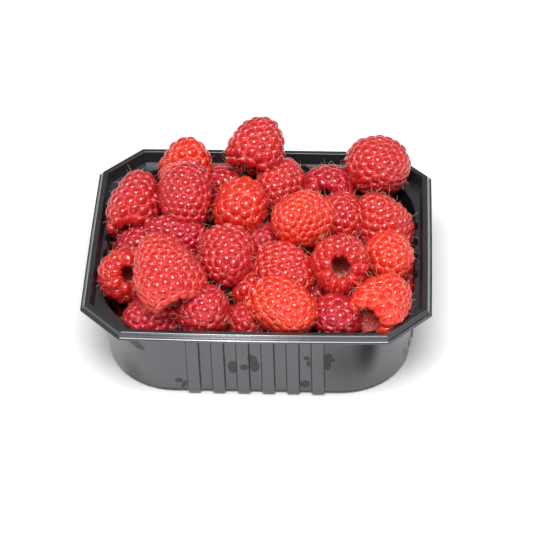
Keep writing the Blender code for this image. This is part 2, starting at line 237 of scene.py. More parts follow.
def make_drupelets(rng, width, length, taper, pitch, plump, ripeness, sides=DOME_SIDES, angles=DOME_ANGLES):
    """Vertices, triangles and (u, v) of every drupelet of one berry in its own axes, and hair roots."""
    rise = RISE * plump * pitch / 2
    outline = Outline(width - OUTLINE_DEPTH * rise, length - OUTLINE_DEPTH * rise, taper)
    s, turn, lips = seed_drupelets(rng, outline, pitch)
    centre, normal, down, round_ = outline.place(s, turn)
    lump = rng.normal(0, LUMPINESS * rise, len(s))
    centre = centre + normal * lump[:, None]
    size = pitch / 2 * (1 + rng.uniform(-SIZE_SPREAD, SIZE_SPREAD, len(s)))
    lip = np.arange(len(s)) < lips

    # how far each drupelet reaches in every direction before it meets one of the others
    angle = np.arange(sides) * 2 * pi / sides
    heading = (down[:, None] * np.cos(angle)[None, :, None]
               + round_[:, None] * np.sin(angle)[None, :, None])
    apart = centre[None] - centre[:, None]
    distance2 = (apart ** 2).sum(2) + np.eye(len(s)) * 1e6
    weight = (size ** 2)[:, None] - (size ** 2)[None]
    toward = np.einsum("ikc,ijc->ikj", heading, apart)
    reach = (distance2 + weight)[:, None] / 2 / np.maximum(toward, 1e-3)
    reach = np.clip(reach, LEAST_REACH * pitch / 2, 60)
    lip_cap = LIP_CAP + np.where(np.cos(angle) > 0, LIP_INWARD, LIP_OUTWARD) * np.cos(angle) ** 2
    cap = pitch / 2 * np.where(lip[:, None], lip_cap[None], CAP)
    extent = ((reach ** -CORNER_POWER).sum(2) + cap ** -CORNER_POWER) ** (-1 / CORNER_POWER) * SWELL

    mean = extent.mean(1)
    spread = 1 + rng.uniform(-HEIGHT_SPREAD, HEIGHT_SPREAD, len(s))
    height = rise * (0.55 + 0.45 * mean / mean.mean()) * spread
    height = np.where(lip, LIP_HEIGHT * rise, height)
    depth = height * np.where(lip, LIP_DEPTH, 1.0)
    lean = rng.normal(0, LEAN * pitch, (len(s), 2))
    rows = []
    for a in angles:
        out, up = sin(radians(a)), cos(radians(a)) ** DOME_POWER if a < 90 else 0.0
        middle = centre + normal * (height * up)[:, None] + (down * lean[:, :1] + round_ * lean[:, 1:]) * up
        row = middle[:, None] + heading * (extent * out)[..., None]
        rows.append(row if out > 0 else row[:, :1])
    out, up = SKIRT
    rows.append((centre + normal * (depth * up)[:, None])[:, None] + heading * (extent * out)[..., None])
    rows.append((centre - normal * (depth * BOTTOM)[:, None])[:, None])
    verts = np.concatenate(rows, 1)

    # how near each point lies to the plane where its drupelet meets the next one; none reaches past it
    length_of = np.sqrt(distance2)
    half_way = (distance2 + weight) / 2 / length_of
    meet = None
    for _ in range(3):
        local = verts - centre[:, None]
        gap = half_way[:, None] - np.einsum("ipc,ijc->ipj", local, apart) / length_of[:, None]
        nearest = gap.argmin(2)
        least = np.take_along_axis(gap, nearest[..., None], 2)[..., 0]
        meet = least if meet is None else meet
        facing = np.take_along_axis(apart / length_of[..., None], nearest[..., None], 1)
        verts = verts + facing * np.minimum(least + OVERLAP, 0)[..., None]

    per = verts.shape[1]
    faces = drupelet_faces(sides, len(angles), per - 1)
    tint = ripeness + rng.normal(0, TINT_SPREAD, len(s)) + TINT_SPREAD * np.sin(turn + rng.uniform(0, 6))
    u = 0.98 * np.exp(-(np.maximum(meet, -EDGE_REACH) + EDGE_REACH)) + 0.01
    wobble = np.concatenate([[0.0], np.tile(np.sin(angle) * 0.012, len(angles)), [0.0]])
    v = np.clip(tint[:, None] + wobble[None], 0.01, 0.99)
    offset = (np.arange(len(s)) * per)[:, None, None]
    all_faces = (faces[None] + offset).reshape(-1, 3)
    roots = (centre + normal * (height * 0.75)[:, None], normal, down, round_)
    return verts.reshape(-1, 3), all_faces, np.stack([u.ravel(), v.ravel()], 1), roots, outline


def berry_axes(compass, climb, spin):
    turn = (Matrix.Rotation(radians(compass), 3, "Z") @ Matrix.Rotation(radians(90 - climb), 3, "Y")
            @ Matrix.Rotation(spin, 3, "Z"))
    return np.array(turn)


def turn_of(axes, direction):
    """The angle round a berry's axis that faces a direction in space."""
    along = axes.T @ np.array(direction)
    return float(np.arctan2(along[1], along[0]))


def without_side(faces, places, turn, length):
    """The drupelets' faces, less those round the hollow's rim on one side."""
    side = places[:, :2] @ (cos(turn), sin(turn)) / np.maximum(np.linalg.norm(places[:, :2], axis=1), 0.1)
    kept = (side < BARE_FACING) | (places[:, 2] > BARE_BELOW * length)
    return faces.reshape(len(places), -1, 3)[kept].reshape(-1, 3)


def uneven(rng, points, width, length, pinch, pinch_turn, slant, slant_turn):
    """Squash and bend a berry a little, so that no two are alike, and pinch the mouth of its hollow."""
    low = np.clip((-points[:, 2] / (length / 2) - 0.20) / 0.6, 0, 1)
    inner = np.clip(1.15 - np.hypot(points[:, 0], points[:, 1]) / (width / 2), 0.12, 1)
    toward = np.array((cos(pinch_turn), sin(pinch_turn)))
    across = points[:, :2] @ toward
    points[:, :2] -= (across * pinch * low * inner)[:, None] * toward
    points[:, 2] += slant * low * (points[:, :2] @ (cos(slant_turn), sin(slant_turn)))
    squash = 1 + rng.uniform(-0.045, 0.045)
    bend = rng.uniform(-0.05, 0.05) / width
    dent = rng.uniform(0, 2 * pi)
    points = points * (squash, 1 / squash, 1)
    points[:, 0] += bend * points[:, 2] ** 2
    around = np.arctan2(points[:, 1], points[:, 0])
    swell = 1 + 0.03 * np.cos(2 * (around - dent)) + 0.025 * np.cos(3 * around + points[:, 2] * 0.25 + dent)
    points[:, :2] *= swell[:, None]
    return points


# ---- Tray shape ----
RIM_LENGTH, RIM_WIDTH, RIM_TOP, LEDGE = 143.0, 120.0, 40.0, 35.0
RIM_CORNER_CUT = 16.9
CUT_CLOSING = 2 - 2 ** 0.5       # how fast the cut corner shortens as the outline moves in
BODY_TOP_INSET, BODY_CORNER_RADIUS, SHEET = 6.8, 31.0, 0.7
# The inside of the tray, for berries to lie against: heights, and insets from the rim's outermost edge.
INSIDE_HEIGHTS = (0.7, 2.0, LEDGE, LEDGE + 0.3, RIM_TOP, 41.5)
INSIDE_INSETS = (11.5, 9.6, BODY_TOP_INSET, 5.4, 4.1, 3.4)
OVER_RIM = RIM_TOP + 1.0         # above this height a berry may reach out over the rim
LOWEST_BERRY = 1.1


def keep_inside(points, gap=0.3):
    """Press points that reach past the tray's walls back onto them, so that berries lie flat there."""
    p = points.copy()
    z = p[:, 2]
    low, below_top = z < LEDGE + 0.3, z < OVER_RIM
    inset = np.interp(z, INSIDE_HEIGHTS, INSIDE_INSETS) + gap
    radius = np.where(low, BODY_CORNER_RADIUS - (inset - BODY_TOP_INSET), 0.0)
    half = np.stack([RIM_LENGTH / 2 - inset, RIM_WIDTH / 2 - inset], 1)
    sign = np.sign(p[:, :2])
    flat = np.abs(p[:, :2])
    # round corners of the body
    corner = half - radius[:, None]
    past = flat - corner
    out = np.hypot(np.maximum(past[:, 0], 0), np.maximum(past[:, 1], 0))
    far = low & (past > 0).all(1) & (out > radius)
    scale = np.where(far, radius / np.maximum(out, 1e-6), 1.0)
    flat = np.where(far[:, None], corner + past * scale[:, None], flat)
    flat = np.where(below_top[:, None], np.minimum(flat, half), flat)
    # cut corners of the rim
    reach = half.sum(1) - (RIM_CORNER_CUT - CUT_CLOSING * inset)
    over = np.where(~low & below_top, np.maximum(flat.sum(1) - reach, 0), 0)
    flat = flat - over[:, None] / 2
    p[:, :2] = sign * flat
    p[:, 2] = np.maximum(z, LOWEST_BERRY)
    return p


# ---- Mesh building ----
def new_piece(name, verts, faces, uv, material):
    """A smooth mesh piece from arrays in mm, with its colour map, riding on the frame."""
    mesh = bpy.data.meshes.new(name)
    mesh.vertices.add(len(verts))
    mesh.vertices.foreach_set("co", (np.asarray(verts) * MM).astype(np.float32).ravel())
    size = np.full(len(faces), faces.shape[1])
    mesh.loops.add(int(size.sum()))
    mesh.loops.foreach_set("vertex_index", faces.astype(np.int32).ravel())
    mesh.polygons.add(len(faces))
    mesh.polygons.foreach_set("loop_start", np.concatenate([[0], np.cumsum(size)[:-1]]).astype(np.int32))
    if uv is not None:
        layer = mesh.uv_layers.new(name="OFBake")
        layer.uv.foreach_set("vector", uv[faces.ravel()].astype(np.float32).ravel())
    mesh.update(calc_edges=True)
    mesh.shade_smooth()
    mesh.materials.append(material)
    piece = bpy.data.objects.new(name, mesh)
    bpy.context.scene.collection.objects.link(piece)
    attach(piece, "root")
    return piece


class Gatherer:
    """Collects the vertices, faces and map of many small shapes into one piece."""

    def __init__(self):
        self.verts, self.faces, self.uv, self.count = [], [], [], 0

    def add(self, verts, faces, uv):
        self.verts.append(verts)
        self.faces.append(faces + self.count)
        self.uv.append(uv)
        self.count += len(verts)

    def piece(self, name, material, slot):
        return new_piece(name, np.concatenate(self.verts), np.concatenate(self.faces),
                         np.concatenate(self.uv), material)


def lathe_faces(sides, rows):
    """Triangles between rows of points round an axis."""
    faces = []
    for m in range(rows - 1):
        for k in range(sides):
            n = (k + 1) % sides
            a, b = m * sides, (m + 1) * sides
            faces += [(a + k, b + k, b + n), (a + k, b + n, a + n)]
    return faces


def body_of_berry(outline, rise, ripeness, sides=30, rows=36, bare=None):
    """The downy flesh between the drupelets, and the hollow: a lathe mesh along the outline."""
    s = np.linspace(0, outline.along[-1], rows)
    turn = np.arange(sides) * 2 * pi / sides
    grid_s, grid_t = np.repeat(s, sides), np.tile(turn, rows)
    point, normal, _, _ = outline.place(grid_s, grid_t)
    mouth = np.clip((grid_s - outline.lip + 1.5) / 3.0, 0, 1)
    point = point + normal * (FLESH_LEVEL * rise * (1 - mouth) - 0.3 * mouth)[:, None]
    dark = np.zeros(len(grid_s))
    if bare is not None:
        # where the drupelets have come off, the flesh is lumpy and sunk, and takes the hollow's painted
        # shade, darkest in the dips between lumps
        open_side = (np.clip(np.cos(grid_t - bare) * 2.0, 0, 1)
                     * np.clip((grid_s - 0.45 * outline.lip) / 3.0, 0, 1))
        lumps = np.sin(9 * grid_t + 0.9 * np.sin(1.5 * grid_s)) ** 2 * (0.55 + 0.45 * np.cos(1.7 * grid_s))
        point = point + normal * (0.9 * open_side * (lumps - 0.5) - 0.8 * open_side)[:, None]
        dark = open_side * (0.60 + 0.22 * (1 - lumps))
    u = np.clip(0.5 + 0.5 * (grid_s - outline.lip) / (outline.along[-1] - outline.lip), 0.02, 0.98)
    u = np.maximum(np.where(grid_s < outline.lip, 0.5 * grid_s / outline.lip, u), dark)
    v = np.clip(ripeness + 0.03 * np.sin(grid_t), 0.01, 0.99)
    return point, np.array(lathe_faces(sides, rows)), np.stack([u, v], 1)


STRAND_STEPS = 6
STRAND_CORNERS = (0, 2.094, 4.189)  # a strand is three-sided
STRAND_END = 0.45                # its width at the tip, to that at the root
STRAND_LEAN, STRAND_CURL, STRAND_BEND = (0.25, 1.1), 0.9, 0.16  # off the surface, and along it
HAIRS_EACH, FIBRES_EACH, FIBRE_ROOTS = 80, 140, 160


def hair_strands(rng, roots, to_world, count, gatherer, length_range=(2.0, 5.0), width=0.07):
    """Fine dried styles that stand out from between the drupelets."""
    base, normal, down, round_ = roots
    picks = rng.integers(0, len(base), count)
    faces = lathe_faces(3, STRAND_STEPS + 1)
    last = 3 * STRAND_STEPS
    faces = np.array(faces + [(0, 2, 1), (last, last + 1, last + 2)])
    for i in picks:
        angle = rng.uniform(0, 2 * pi)
        side = down[i] * cos(angle) + round_[i] * sin(angle)
        lean = rng.uniform(*STRAND_LEAN)
        length = rng.uniform(*length_range)
        curl = rng.normal(0, STRAND_CURL, 3)
        point = base[i] + side * 1.0 - normal[i] * 0.6
        direction = normal[i] + side * lean
        direction /= np.linalg.norm(direction)
        path = [point]
        for k in range(STRAND_STEPS):
            direction = direction + curl * STRAND_BEND * (1 + k * 0.3)
            direction /= np.linalg.norm(direction)
            point = point + direction * length / STRAND_STEPS
            path.append(point)
        path = to_world(np.array(path))
        thick = width * np.linspace(1.0, STRAND_END, len(path))
        tangent = np.gradient(path, axis=0)
        tangent /= np.linalg.norm(tangent, axis=1)[:, None]
        first = np.cross(tangent, (0.3, 0.5, 0.81))
        first /= np.linalg.norm(first, axis=1)[:, None] + 1e-9
        second = np.cross(tangent, first)
        corners = [path + thick[:, None] * (first * cos(a) + second * sin(a)) for a in STRAND_CORNERS]
        u = np.repeat(np.linspace(0.02, 0.98, len(path)), 3)
        v = np.clip(rng.uniform(0.1, 0.9) + np.tile((0.0, 0.02, 0.04), len(path)), 0, 1)
        gatherer.add(np.stack(corners, 1).reshape(-1, 3), faces, np.stack([u, v], 1))


# ---- Materials ----
def material_with_nodes(name, **inputs):
    """A new material, its tree and its shader, with the shader's inputs set: Coat_Weight is Coat Weight."""
    material = bpy.data.materials.new(name)
    material.use_nodes = True
    shader = material.node_tree.nodes["Principled BSDF"]
    for key, value in inputs.items():
        shader.inputs[key.replace("_", " ")].default_value = value
    return material, material.node_tree, shader


def join(tree, *pairs):
    """Link each output or plain value to its socket."""
    for value, socket in pairs:
        if isinstance(value, bpy.types.NodeSocket):
            tree.links.new(value, socket)
        elif value is not None:
            socket.default_value = value


def ramp(tree, factor, stops):
    node = tree.nodes.new("ShaderNodeValToRGB")
    elements = node.color_ramp.elements
    while len(elements) < len(stops):
        elements.new(0.5)
    for element, (place, colour) in zip(elements, stops):
        element.position = place
        element.color = (*colour, 1.0)
    tree.links.new(factor, node.inputs["Fac"])
    return node.outputs["Color"]


def mix(tree, factor, first, second):
    node = tree.nodes.new("ShaderNodeMix")
    node.data_type = "RGBA"
    first, second = ((*value, 1.0) if isinstance(value, tuple) else value for value in (first, second))
    join(tree, (factor, node.inputs["Factor"]), (first, node.inputs[6]), (second, node.inputs[7]))
    return node.outputs[2]


def noise(tree, scale, detail, vector=None):
    node = tree.nodes.new("ShaderNodeTexNoise")
    join(tree, (scale, node.inputs["Scale"]), (detail, node.inputs["Detail"]),
         (vector, node.inputs["Vector"]))
    return node.outputs["Fac"]


def calc(tree, operation, first, second=None, third=None):
    node = tree.nodes.new("ShaderNodeMath")
    node.operation = operation
    join(tree, *zip((first, second, third), node.inputs))
    return node.outputs[0]


def step(tree, value, low, high):
    """0 below low, 1 above high, and a soft edge between."""
    node = tree.nodes.new("ShaderNodeMapRange")
    node.interpolation_type = "SMOOTHSTEP"
    join(tree, (value, node.inputs["Value"]), (low, node.inputs["From Min"]),
         (high, node.inputs["From Max"]))
    return node.outputs["Result"]


def split(tree, vector):
    node = tree.nodes.new("ShaderNodeSeparateXYZ")
    tree.links.new(vector, node.inputs["Vector"])
    return node.outputs["X"], node.outputs["Y"], node.outputs["Z"]


def map_of(tree):
    """The two values that a berry's map carries."""
    uv = tree.nodes.new("ShaderNodeUVMap")
    uv.uv_map = "OFBake"
    return split(tree, uv.outputs["UV"])[:2]


# Skin colours from the top of a drupelet's dome, at 0, to the bottom of the gap beside it, at 1: the pale
# downy line round it lies where the map is near a half. That line is partly the down's own colour and
# partly painted glow of light through the thin edges, and the dome lightening from its top towards it is
# painted glow too.
DARK_SKIN = ((0.10, (0.34, 0.001, 0.014)), (0.25, (0.42, 0.001, 0.022)), (0.36, (0.50, 0.004, 0.032)),
             (0.41, (0.64, 0.05, 0.08)), (0.44, (0.72, 0.11, 0.12)), (0.56, (0.72, 0.11, 0.12)),
             (0.68, (0.42, 0.001, 0.022)))
ORANGE_SKIN = ((0.10, (0.76, 0.020, 0.005)), (0.25, (0.82, 0.032, 0.008)), (0.36, (0.87, 0.055, 0.018)),
               (0.41, (0.94, 0.12, 0.05)), (0.44, (0.98, 0.22, 0.12)), (0.56, (0.98, 0.22, 0.12)),
               (0.68, (0.82, 0.032, 0.008)))
# The hollow from its lip inwards, painted darker towards its bottom as painted shade.
HOLLOW_PAINTED_SHADE = ((0.53, (0.74, 0.21, 0.17)), (0.64, (0.60, 0.13, 0.105)), (0.78, (0.46, 0.065, 0.055)),
          (1.0, (0.32, 0.035, 0.028)))


def drupelet_material(name, gloss, down):
    """Glossy translucent fruit skin: deep red inside each drupelet, lighter towards its edge as painted
    glow, and pale downy lines between them, partly painted glow.
    """
    material, tree, shader = material_with_nodes(
        name, Roughness=0.22 + 0.4 * (1 - gloss), IOR=1.50, Subsurface_Weight=0.5,
        Subsurface_Radius=(1.0, 0.12, 0.08), Subsurface_Scale=0.0022, Specular_IOR_Level=0.42,
        Coat_Weight=0.8 * gloss, Coat_Roughness=0.08, Sheen_Weight=down, Sheen_Roughness=0.35,
        Sheen_Tint=(1.0, 0.72, 0.68, 1.0))
    near, ripeness = map_of(tree)
    colour = mix(tree, ripeness, ramp(tree, near, DARK_SKIN), ramp(tree, near, ORANGE_SKIN))
    tree.links.new(colour, shader.inputs["Base Color"])
    return material


def flesh_material():
    """Pale downy flesh between the drupelets, and a hollow painted darker inwards as painted shade."""
    material, tree, shader = material_with_nodes("raspberry_flesh", Roughness=0.7, Specular_IOR_Level=0.25)
    along, ripeness = map_of(tree)
    # pale downy flesh: partly its own colour, partly painted glow of light through the thin edges
    skin = mix(tree, ripeness, (0.60, 0.05, 0.07), (0.96, 0.15, 0.095))
    inside = ramp(tree, along, ((0.46, (0.0, 0.0, 0.0)), (0.56, (1.0, 1.0, 1.0))))
    colour = mix(tree, inside, skin, ramp(tree, along, HOLLOW_PAINTED_SHADE))
    tree.links.new(colour, shader.inputs["Base Color"])
    return material


def hair_material():
    """Pale dry styles, browner towards their tips."""
    material, tree, shader = material_with_nodes("raspberry_styles", Roughness=0.5)
    along, tone = map_of(tree)
    light = ramp(tree, tone, ((0.0, (0.95, 0.72, 0.55)), (0.5, (0.98, 0.84, 0.74)),
                              (1.0, (0.95, 0.70, 0.64))))
    colour = mix(tree, along, light, (0.85, 0.58, 0.38))
    tree.links.new(colour, shader.inputs["Base Color"])
    return material


def core_shade_material():
    """Very dark red: painted shade for the gaps between berries."""
    material, tree, shader = material_with_nodes("raspberry_core", Roughness=0.8, Specular_IOR_Level=0.1)
    grain = noise(tree, 220.0, 3.0)
    colour = ramp(tree, grain, ((0.3, (0.040, 0.001, 0.003)), (0.7, (0.10, 0.003, 0.006))))
    tree.links.new(colour, shader.inputs["Base Color"])
    return material


# Dried juice on the front wall: middle x, y, z, half width and half height in mm, and tilt in degrees.
STAINS = (
    (-9.4, -51.8, 16.0, 2.1, 3.9, 0), (-4.4, -51.8, 17.3, 2.0, 1.9, 0), (-0.9, -51.9, 19.6, 1.9, 3.4, 0),
    (-0.3, -51.9, 16.4, 2.1, 3.3, 0), (-1.9, -52.2, 22.2, 1.3, 1.6, 0), (21.0, -52.2, 21.9, 1.4, 1.2, 0),
    (21.7, -52.0, 18.6, 0.9, 2.2, 0), (29.6, -52.0, 23.0, 1.9, 2.2, 0), (29.4, -52.0, 18.6, 1.6, 3.6, 0),
    (30.6, -52.0, 20.8, 2.4, 1.2, -20), (-31.8, -51.5, 7.4, 1.8, 1.5, -10),
    (-29.7, -51.4, 4.9, 1.0, 2.4, 20), (20.1, -51.4, 6.0, 2.1, 2.3, 0), (-50.4, -49.0, 25.7, 6.0, 2.2, 25),
)
SPOT_HALF_DEPTH = 6.0            # of every oval spot, across the wall
# Painted patches of the sheet, given as the stains are, and how dim each is in its middle, or if negative,
# how much glossier: the first two are painted dark reflection right of the front ribs, the third painted
# shade at the left of the foot, and the last a painted highlight along the middle of the front rim.
PAINTED_SHADE_AND_HIGHLIGHT_PATCHES = (
    ((46.5, -51.0, 27.0, 9.5, 25.0, 0), 0.68), ((37.0, -51.0, 22.0, 20.0, 25.0, 0), 0.45),
    ((-55.0, -46.0, 5.0, 17.0, 15.0, 0), 0.35), ((-8.0, -59.6, 38.9, 38.0, 2.6, 0), -0.95),
)
# Where masks on the sheet begin and end, in mm: -Y for the front ribs' sides and for the front ribs'
# outer faces, and -Z for the part below the ledge and for the foot.
RIB_SIDES, RIB_FACES = (49.5, 50.0), (51.9, 52.2)
BELOW_LEDGE, FOOT = (-34.5, -34.0), (-2.4, -1.2)
# painted contact shade: how much the line along the foot darkens colour and gloss
FOOT_PAINTED_SHADE = -0.8
STAIN_EDGE = (1.20, 1.32)        # how far out a stain ends, with its raggedness added
STEEP, DOWNWARDS = (0.30, 0.75), (0.25, 0.75)  # how much a face turns sideways, or down, to get painted shade
DULL_STAINED_OR_SHADED, GLOSSY = 0.21, 0.79        # specular level of sheet that is stained or under painted shade, and of clean, unshaded sheet


def spot_reach(tree, place, spot):
    """How far a place lies from the middle of an oval spot, 1 at its edge."""
    x, y, z, half_width, half_height, tilt = spot
    oval = tree.nodes.new("ShaderNodeMapping")
    oval.vector_type = "TEXTURE"
    oval.inputs["Location"].default_value = (x * MM, y * MM, z * MM)
    oval.inputs["Rotation"].default_value = (0.0, radians(tilt), 0.0)
    oval.inputs["Scale"].default_value = (half_width * MM, SPOT_HALF_DEPTH * MM, half_height * MM)
    tree.links.new(place, oval.inputs["Vector"])
    reach = tree.nodes.new("ShaderNodeVectorMath")
    reach.operation = "LENGTH"
    tree.links.new(oval.outputs["Vector"], reach.inputs[0])
    return reach.outputs["Value"]


def plastic_material():
    """Black sheet with ragged stains of dried juice, painted shade on its ribs' sides, down-facing faces
    and foot, and soft patches of painted reflection, shade and highlight.
    """
    material, tree, shader = material_with_nodes(
        "black_plastic_sheet", Specular_Tint=(0.93, 0.95, 1.0, 1.0), Roughness=0.24, IOR=1.55,
        Coat_Roughness=0.3)

    def product(first, second):
        return calc(tree, "MULTIPLY", first, second)

    def past(value, limits):
        return step(tree, value, limits[0] * MM, limits[1] * MM)

    place = tree.nodes.new("ShaderNodeTexCoord").outputs["Object"]
    _, y, z = split(tree, place)
    front, depth = product(y, -1.0), product(z, -1.0)
    stain = None
    for spot in STAINS:
        reach = spot_reach(tree, place, spot)
        stain = reach if stain is None else calc(tree, "MINIMUM", stain, reach)
    ragged = product(noise(tree, 420.0, 3.0, place), 0.6)
    unstained_and_unshaded = step(tree, calc(tree, "ADD", stain, ragged), *STAIN_EDGE)

    # painted shade: the steep sides of the front ribs, and every face that looks down, are darkened and
    # dulled as if in the dark
    facing_x, _, facing_z = split(tree, tree.nodes.new("ShaderNodeTexCoord").outputs["Normal"])
    sideways = step(tree, calc(tree, "ABSOLUTE", facing_x), *STEEP)
    downwards = step(tree, product(facing_z, -1.0), *DOWNWARDS)
    on_ribs = product(past(front, RIB_SIDES), past(depth, BELOW_LEDGE))
    dim = calc(tree, "MAXIMUM", downwards, product(sideways, on_ribs))
    unstained_and_unshaded = product(unstained_and_unshaded, calc(tree, "SUBTRACT", 1.0, dim))

    # painted contact shade: a dark line along the foot, but for the front ribs
    recessed = calc(tree, "SUBTRACT", 1.0, past(front, RIB_FACES))
    shade = calc(tree, "MULTIPLY_ADD", product(past(depth, FOOT), recessed), FOOT_PAINTED_SHADE, 1.0)
    # patches of painted dark reflection and painted shade, and one painted highlight
    for spot, dimness in PAINTED_SHADE_AND_HIGHLIGHT_PATCHES:
        outside = step(tree, spot_reach(tree, place, spot), 0.0, 1.0)
        shade = product(shade, calc(tree, "MULTIPLY_ADD", outside, dimness, 1 - dimness))
    unstained_and_unshaded = product(unstained_and_unshaded, shade)

    sheet = ramp(tree, noise(tree, 400.0, 2.0, place),
                 ((0.3, (0.015, 0.016, 0.019)), (0.7, (0.019, 0.020, 0.024))))
    specular = calc(tree, "MULTIPLY_ADD", unstained_and_unshaded, GLOSSY - DULL_STAINED_OR_SHADED, DULL_STAINED_OR_SHADED)
    join(tree, (mix(tree, unstained_and_unshaded, (0.004, 0.003, 0.004), sheet), shader.inputs["Base Color"]),
         (product(specular, shade), shader.inputs["Specular IOR Level"]),
         (product(shade, 0.6), shader.inputs["Coat Weight"]))
    return material


# ---- Berries into pieces ----
HIDDEN_SPACING = 22.0
HIDDEN_ROWS = ((-36.0, 0.0), (-12.5, 5.5), (11.5, 0.0), (35.5, 5.5))  # y, and the shift along x
HIDDEN_REACH = 82.0              # most of |x| + |y|, which leaves the corners out
HIDDEN_SIZE = (23.0, 21.0, 22.0)  # height of the middle, width and length
HIDDEN_REST = (50, PLAIN_TAPER, "under", 3.8, 0.62, 0.2)  # from the climb on, as in the table of berries


def hidden_berries():
    """The layer under the berries that show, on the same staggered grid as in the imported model."""
    berries = []
    for row, (y, shift) in enumerate(HIDDEN_ROWS):
        for column in range(-3, 3):
            x = HIDDEN_SPACING * (column + 0.5) + shift
            if abs(x) + abs(y) < HIDDEN_REACH:
                berries.append((x, y, *HIDDEN_SIZE, 70 * column + 45 * row, *HIDDEN_REST))
    return berries


def add_berry(index, row, drupelets, bodies, hairs):
    """Build one berry, and add its drupelets, body and hairs to the pieces they belong to."""
    x, y, z, width, length, compass, climb, taper, kind, pitch, plump, ripeness = row
    rng = np.random.default_rng(100 + index)
    coarse = (PLAIN_SIDES, PLAIN_ANGLES) if kind == "under" else ()
    verts, faces, uv, roots, outline = make_drupelets(
        rng, width, length, taper, pitch, plump, ripeness, *coarse)
    axes = berry_axes(compass, climb, rng.uniform(0, 2 * pi))
    own_pinch = rng.uniform(0, MOST_PINCH), (rng.normal(), rng.normal(), rng.normal())
    pinch, pinched_along = PINCHED.get(index, own_pinch)
    slant, drawn_back = SLANTED.get(index, (0.0, (1.0, 0.0, 0.0)))
    shape = (width, length, pinch, turn_of(axes, pinched_along), slant, turn_of(axes, drawn_back))

    def to_world(points):
        bent = uneven(np.random.default_rng(500 + index), np.array(points, float), *shape)
        return keep_inside(bent @ axes.T + (x, y, z))

    detail = ()
    if index in BARE:
        bare_turn = turn_of(axes, BARE[index])
        faces = without_side(faces, roots[0], bare_turn, length)
        detail = (*FINE_BODY, bare_turn)
    drupelets[kind].add(to_world(verts), faces, uv)
    point, body_faces, body_uv = body_of_berry(outline, RISE * plump * pitch / 2, ripeness, *detail)
    bodies.add(to_world(point), body_faces, body_uv)
    if kind != "under":
        hair_strands(rng, roots, to_world, HAIRS_EACH, hairs)
    if index in DOWNY_HOLLOWS:
        # how far out from the lip the fibres begin, and how long they are
        outermost, lengths = (-9.0, (0.8, 2.2)) if index in BARE else (-0.5, (1.6, 3.2))
        around = turn_of(axes, BARE.get(index, FIBRE_SIDE)) + rng.normal(0, 0.7, FIBRE_ROOTS)
        inside = outline.place(outline.lip + rng.uniform(outermost, 6.0, FIBRE_ROOTS), around)
        hair_strands(rng, inside, to_world, FIBRES_EACH, hairs, lengths, 0.04)


def make_berries():
    skin = drupelet_material("raspberry_skin", 1.0, 0.05)
    flesh = flesh_material()
    downy_skin = drupelet_material("raspberry_skin_downy", 0.5, 0.2)
    drupelets = {kind: Gatherer() for kind in ("orange", "red", "dark", "pale", "under")}
    bodies, hairs = Gatherer(), Gatherer()
    for index, row in enumerate((*BERRIES, *hidden_berries())):
        add_berry(index, row, drupelets, bodies, hairs)
    for kind, gatherer in drupelets.items():
        gatherer.piece(f"raspberries_{kind}", downy_skin if kind == "pale" else skin, "raspberry")
    bodies.piece("raspberry_bodies", flesh, "raspberry")
    hairs.piece("raspberry_styles", hair_material(), "raspberry")


CORE_SECTIONS = ((1.2, 14.0), (3.5, 12.2), (20.0, 11.2), (25.0, 13.0))  # height, inset from the rim's edge
CORE_CORNER_RADIUS = 26.0
CORE_SIDES = 64


def make_core():
    """A smaller core under the berries, so that no light comes through the heap."""
    verts, sides, radius = [], CORE_SIDES, CORE_CORNER_RADIUS
    for height, inset in CORE_SECTIONS:
        half_x, half_y = RIM_LENGTH / 2 - inset, RIM_WIDTH / 2 - inset
        for k in range(sides):
            turn = 2 * pi * (k + 0.5) / sides
            corner = (np.sign(cos(turn)) * (half_x - radius), np.sign(sin(turn)) * (half_y - radius))
            verts.append((corner[0] + radius * cos(turn), corner[1] + radius * sin(turn), height))
    verts += [(0, 0, CORE_SECTIONS[0][0]), (0, 0, CORE_SECTIONS[-1][0] + 1.0)]
    faces = [face[::-1] for face in lathe_faces(sides, len(CORE_SECTIONS))]
    top = (len(CORE_SECTIONS) - 1) * sides
    for k in range(sides):
        n = (k + 1) % sides
        faces += [(len(verts) - 2, n, k), (len(verts) - 1, top + k, top + n)]
    return new_piece("raspberry_core", np.array(verts), np.array(faces), None, core_shade_material())


make_berries()
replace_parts(make_core(), "raspberry_heap")


# ---- Tray ----
RIM_BOWS = (0.2, 0.0, 0.2, 0.0, 0.2, 0.0, 0.8, 0.0)  # of each edge of the rim, from the right side round
RIB_DEPTH = 1.3
RIBS = ((4, 10.0), (6, 10.2))    # how many there are and how far apart, on the short and on the long sides
INNER_RIB_HALVES, OUTER_RIB_HALVES = (2.45, 2.00), (2.85, 2.40)  # half widths at the foot and at the top
BASE_PANEL_INSET = 17.2          # flat middle of the base
RIM_ROUNDING, BODY_ROUNDING, RIB_ROUNDING = 0.3, 0.35, 0.28
SHARP_ANGLE = 32
# Sections as (inset from the rim's outermost edge, height), with the sharp corners still to be softened.
RIM_UPPER_FACE = ((0.0, 37.55), (0.4, 37.65), (0.8, 37.95), (1.15, 38.5), (1.45, 39.2), (1.75, 39.8),
                  (2.15, 40.0), (3.9, 40.0), (5.15, 35.0))
RIM_UNDER_FACE = ((0.0, 37.05), (1.05, 37.15), (2.45, 39.3), (3.25, 39.3), (4.45, 34.3))
BODY_INNER_FACE = ((6.8, 35.0), (7.15, 34.5), (9.2, 3.4), (9.8, 2.0), (11.3, 1.6), (14.2, 0.7))
BODY_OUTER_FACE = ((6.1, 34.3), (8.55, 1.5), (8.85, 1.0), (9.6, 0.9), (13.0, 0.15), (14.2, 0.0))
